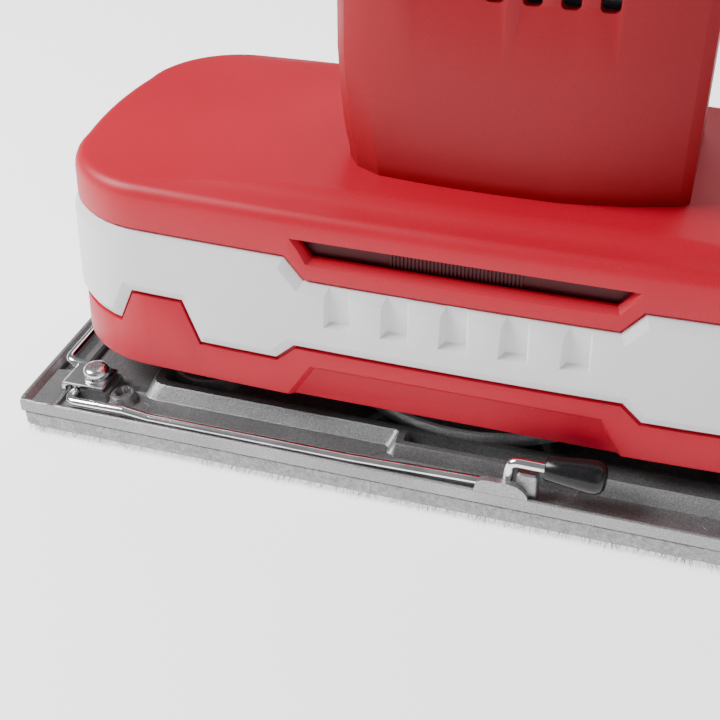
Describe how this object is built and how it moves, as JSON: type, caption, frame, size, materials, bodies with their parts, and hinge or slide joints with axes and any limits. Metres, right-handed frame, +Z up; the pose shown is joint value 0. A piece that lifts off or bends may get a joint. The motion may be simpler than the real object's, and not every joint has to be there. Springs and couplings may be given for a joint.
{
  "type": "half-sheet orbital sander",
  "caption": "Orbital finishing sander: a motor spins an eccentric that moves a cast sole with a foam pad; wire levers clamp the paper.",
  "frame": {"origin": "centre of the sanding face, on the underside of the hook-and-loop face", "axes": "+X towards the handle's rear end, -X towards the nose, +Z up from the sanding face"},
  "size_m": [0.276, 0.1174, 0.17],
  "materials": {
    "cast_aluminium": "sand-blasted die casting",
    "foam": "closed-cell foam, matt",
    "hook_fabric": "hook-and-loop face with loose fibres",
    "zinc_steel": "bright zinc plate",
    "bright_wire": "bright drawn wire",
    "bearing_steel": "ground steel",
    "tip_rubber": "glossy dipped rubber",
    "isolator_rubber": "matt rubber",
    "red_plastic": "satin with a fine moulded grain",
    "grey_plastic": "satin with a fine moulded grain",
    "black_plastic": "fine moulded grain",
    "core_steel": "stacked laminations",
    "copper": "enamelled copper",
    "brass": "brass",
    "carbon": "carbon",
    "zinc_casting": "zinc casting",
    "circuit": "board",
    "capacitor_case": "moulded"
  },
  "bodies": {
    "housing": {"base_housing": "red_plastic", "side_band": "grey_plastic", "fan_shroud": "black_plastic", "isolator_posts": "isolator_rubber", "isolator_screws": "zinc_steel", "bearing_bridge": "cast_aluminium", "bridge_screws": "zinc_steel", "lower_bearing": "bearing_steel", "motor_housing": "red_plastic", "motor_screws": "zinc_steel", "top_cap": "black_plastic", "cap_screws": "zinc_steel", "upper_bearing": "bearing_steel", "upper_bracket": "black_plastic", "field_core": "core_steel", "field_coils": "copper", "brush_holders": "brass", "carbon_brushes": "carbon", "brush_springs": "bright_wire", "handle_left": "red_plastic", "handle_right": "red_plastic", "handle_grip": "isolator_rubber", "handle_screws": "zinc_steel", "trigger_pin": "zinc_steel", "switch_block": "black_plastic", "speed_board": "circuit", "capacitor": "capacitor_case", "dust_spigot": "black_plastic", "cable_inlet": "black_plastic"},
    "rotor": {"motor_shaft": "bearing_steel", "armature_core": "core_steel", "armature_windings": "copper", "commutator": "copper", "cooling_fan": "black_plastic", "eccentric": "zinc_casting", "eccentric_screw": "zinc_steel"},
    "sole": {"sole_plate": "cast_aluminium", "foam_pad": "foam", "hook_face": "hook_fabric", "clamp_straps": "zinc_steel", "strap_screws": "zinc_steel", "sole_bearing": "bearing_steel", "bearing_retainer": "zinc_steel", "retainer_screws": "zinc_steel"},
    "front_clamp": {"front_clamp_wire": "bright_wire", "front_lever_tip": "tip_rubber"},
    "rear_clamp": {"rear_clamp_wire": "bright_wire", "rear_lever_tip": "tip_rubber"},
    "trigger": {"trigger": "black_plastic"},
    "lock_button": {"lock_button": "black_plastic"},
    "speed_dial": {"speed_dial": "black_plastic"}
  },
  "joints": [
    {"name": "motor_spin", "type": "hinge", "parent": "housing", "child": "rotor", "pos_m": [-0.001, 0, 0.1], "axis": [0, 0, 1], "continuous": true},
    {"name": "sole_orbit", "type": "hinge", "parent": "rotor", "child": "sole", "pos_m": [0, 0, 0.0143], "axis": [0, 0, 1], "continuous": true},
    {"name": "front_lever", "type": "hinge", "parent": "sole", "child": "front_clamp", "pos_m": [-0.1023, 0, 0.0098], "axis": [0, -1, 0], "range_deg": [0, 15]},
    {"name": "rear_lever", "type": "hinge", "parent": "sole", "child": "rear_clamp", "pos_m": [0.1023, 0, 0.0098], "axis": [0, 1, 0], "range_deg": [0, 15]},
    {"name": "trigger_pull", "type": "hinge", "parent": "housing", "child": "trigger", "pos_m": [0.069, 0, 0.1345], "axis": [0, -1, 0], "range_deg": [0, 6], "stiffness_Nm_per_rad": 2, "springref_deg": -2.86},
    {"name": "lock_press", "type": "slide", "parent": "housing", "child": "lock_button", "axis": [0, 1, 0], "range_m": [0, 0.0025], "stiffness_N_per_m": 800, "springref_m": -0.001},
    {"name": "speed_turn", "type": "hinge", "parent": "housing", "child": "speed_dial", "pos_m": [0.058, 0, 0.1532], "axis": [0, 1, 0], "range_deg": [-135, 135]}
  ],
  "couplings": [
    {"joint": "sole_orbit", "follows": "motor_spin", "ratio": -1}
  ]
}
